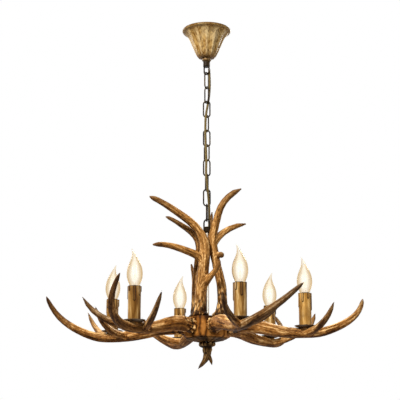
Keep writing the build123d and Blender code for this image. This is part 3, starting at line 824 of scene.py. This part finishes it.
wax, tree, shader = material("ochre_wax", 0.36, 0.0, Specular_IOR_Level=0.10)
smear = speckle(tree, stretched(tree, (120, 120, 18)), 5, 0.5)
cloud = speckle(tree, stretched(tree, (42, 42, 24)), 3)
ochre = ramp(tree, smear, [
    (0.30, (0.120, 0.050, 0.007)), (0.45, (0.34, 0.170, 0.034)), (0.60, (0.60, 0.355, 0.110)),
    (0.74, (0.90, 0.69, 0.37)),
])
clouded = mixed(tree, level(tree, cloud, 0.5, 0.7, 0, 0.7), ochre, (0.13, 0.060, 0.012, 1))
soaking = combined(tree, "MULTIPLY", kept(tree, "glaze"), level(tree, smear, 0.3, 0.7, 1.25, 0.55))
soaked = mixed(tree, soaking, clouded, (0.088, 0.034, 0.004, 1))
flank = ramp(tree, kept(tree, "run"), [
    (0.0, (0, 0, 0)), (0.10, (1, 1, 1)), (0.6, (0.8, 0.8, 0.8)), (0.9, (0.15, 0.15, 0.15)),
])
outlined = mixed(tree, flank, soaked, (0.026, 0.011, 0.003, 1))
top_edge = level(tree, height_on(tree), sleeve_top - 0.0024, sleeve_top - 0.0008)
coat(tree, shader, mixed(tree, top_edge, outlined, (0.022, 0.009, 0.003, 1)))
relief(tree, shader, smear, 0.0002)


def rings_up(tree, scale):
    """Even rings round an upright piece."""
    wave = {"Vector": stretched(tree, (1, 1, 1)), "Scale": scale}
    return node(tree, "TexWave", wave, wave_type="BANDS", bands_direction="Z").outputs["Fac"]


holder, tree, shader = material("lampholder", 0.5)
dust = speckle(tree, stretched(tree, (90, 90, 90)), 4)
coat(tree, shader, ramp(tree, dust, [(0.3, (0.02, 0.018, 0.016)), (0.8, (0.07, 0.062, 0.055))]))
relief(tree, shader, rings_up(tree, 260.0), 0.0002)
finish_with("lamp_sockets", holder)

for n, turn in enumerate(arm_turns):
    axis = Matrix.Rotation(radians(turn), 4, "Z") @ Vector((candle_radius, 0, pan_level))
    finish_with(f"drip_pan_{n + 1}", pan_bronze)
    mesh = casting(f"candle_sleeve_{n + 1}", sleeve_cell, 3)
    normals = [corner.normal.copy() for corner in mesh.vertices]
    heights = []
    for corner, normal in zip(mesh.vertices, normals):
        away = corner.co - axis
        away.z = 0
        heights.append(clamped((away.length - sleeve_radius - 0.0001) / run_depth))
        corner.co += normal * wax_swell * uneven(90 * corner.co.x, 90 * corner.co.y, 30 * corner.co.z)
    keep(mesh, "run", heights)
    keep(mesh, "glaze", [sleeve_glaze[n]] * len(heights))
    sleeve = new_piece(f"wax_sleeve_{n + 1}", mesh, "fixture", wax)
    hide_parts(f"candle_sleeve_{n + 1}")

# ---------------------------------------------------------------- bulbs
# Clear bent-tip candle lamps, lit. A brass screw cap holds the blown glass, and a glass stem inside
# it carries two upright filaments that glow against a warm white bloom.
glass_foot = 0.0695         # above the pan's rim plane
glass_seat = 0.0035         # from there up to where the pieces inside the glass start
bloom_outline = [           # radius and height above that
    (0.0005, 0.006), (0.0050, 0.012), (0.0085, 0.022), (0.0095, 0.031), (0.0085, 0.041), (0.0060, 0.051),
    (0.0030, 0.060), (0.0006, 0.067),
]
stem_outline = [(0.0034, 0.0), (0.0026, 0.006), (0.0016, 0.012), (0.0018, 0.022), (0.0010, 0.026)]
strand_offset = 0.0032
strand_middle = 0.032
strand_length = 0.026
strand_lean = 6
strand_foot, strand_head = 0.0009, 0.0007       # radii

cap_brass, tree, shader = material("cap_brass", 0.28, 1.0)
tarnish = speckle(tree, stretched(tree, (150, 150, 150)), 4)
coat(tree, shader, ramp(tree, tarnish, [(0.3, (0.45, 0.31, 0.12)), (0.7, (0.80, 0.64, 0.33))]))
relief(tree, shader, rings_up(tree, 150.0), 0.0004)

clear_glass, tree, shader = material("clear_glass", 0.02, 0.0, Transmission_Weight=1.0, IOR=1.05)
facing = node(tree, "LayerWeight", {"Blend": 0.5}).outputs["Facing"]
breath = level(tree, speckle(tree, stretched(tree, (40, 40, 40)), 3), 0.3, 0.7, -0.04, 0.04)
amber = ramp(tree, combined(tree, "ADD", facing, breath), [
    (0.03, (0.99, 0.965, 0.92)), (0.20, (0.925, 0.845, 0.72)), (0.48, (0.83, 0.71, 0.53)),
    (0.82, (0.75, 0.61, 0.42)), (1.0, (0.70, 0.55, 0.37)),
])
coat(tree, shader, amber)

glowing = bpy.data.materials.new("warm_bloom")
glowing.use_nodes = True
tree = glowing.node_tree
tree.nodes.clear()
bloom = speckle(tree, stretched(tree, (30, 30, 30)), 2)
bloom_tone = ramp(tree, bloom, [(0.3, (1.0, 0.93, 0.80)), (0.7, (1.0, 0.97, 0.90))])
lit = node(tree, "Emission", {"Color": bloom_tone, "Strength": 1.18})
open_air = node(tree, "BsdfTransparent")
edge = node(tree, "LayerWeight", {"Blend": 0.35}).outputs["Facing"]
soft_edge = level(tree, edge, 0.0, 0.8, 0.5, 0.0)
halo = node(tree, "MixShader", {0: soft_edge, 1: open_air.outputs[0], 2: lit.outputs[0]})
node(tree, "OutputMaterial", {"Surface": halo.outputs[0]})

hot, tree, shader = material("hot_filament", 0.4, 0.0, Emission_Strength=1.0)
flicker = speckle(tree, stretched(tree, (400, 400, 400)), 2)
heat = ramp(tree, flicker, [(0.3, (1.0, 0.55, 0.20)), (0.7, (1.0, 0.70, 0.38))])
tree.links.new(heat, shader.inputs["Emission Color"])


def turned_form(form, outline, centre, sides=24):
    """Spins an outline of (radius, height) about an upright axis, closed, into an empty form."""
    foot = Matrix.Translation(centre + Vector((0, 0, outline[0][1])))
    bmesh.ops.create_circle(form, segments=sides, radius=outline[0][0], cap_ends=True, matrix=foot)
    edges = list(form.edges)
    for (radius, height), (last_radius, last_height) in zip(outline[1:], outline):
        edges, corners = extruded(form, edges)
        grow = radius / last_radius
        bmesh.ops.scale(form, vec=(grow, grow, 1), space=Matrix.Translation(-centre), verts=corners)
        bmesh.ops.translate(form, vec=(0, 0, height - last_height), verts=corners)
    bmesh.ops.contextual_create(form, geom=edges)


for n, turn in enumerate(arm_turns):
    seat = Vector((candle_radius, 0, pan_level + glass_foot + glass_seat))
    foot = Matrix.Rotation(radians(turn), 4, "Z") @ seat
    finish_with(f"bulb_cap_{n + 1}", cap_brass)
    finish_with(f"bulb_glass_{n + 1}", clear_glass)
    form = bmesh.new()
    turned_form(form, bloom_outline, foot)
    new_piece(f"bulb_bloom_{n + 1}", made_mesh("bloom", form), f"bulb_{n + 1}", glowing)
    form = bmesh.new()
    turned_form(form, stem_outline, foot, 16)
    new_piece(f"bulb_stem_{n + 1}", made_mesh("stem", form), f"bulb_{n + 1}", clear_glass)
    form = bmesh.new()
    for side in (-1, 1):
        middle = Matrix.Translation(foot + Vector((side * strand_offset, 0, strand_middle)))
        strand = middle @ Matrix.Rotation(radians(side * strand_lean), 4, "Y")
        bmesh.ops.create_cone(
            form, cap_ends=True, segments=10, radius1=strand_foot, radius2=strand_head, depth=strand_length,
            matrix=strand)
    new_piece(f"bulb_filament_{n + 1}", made_mesh("filament", form), f"bulb_{n + 1}", hot)
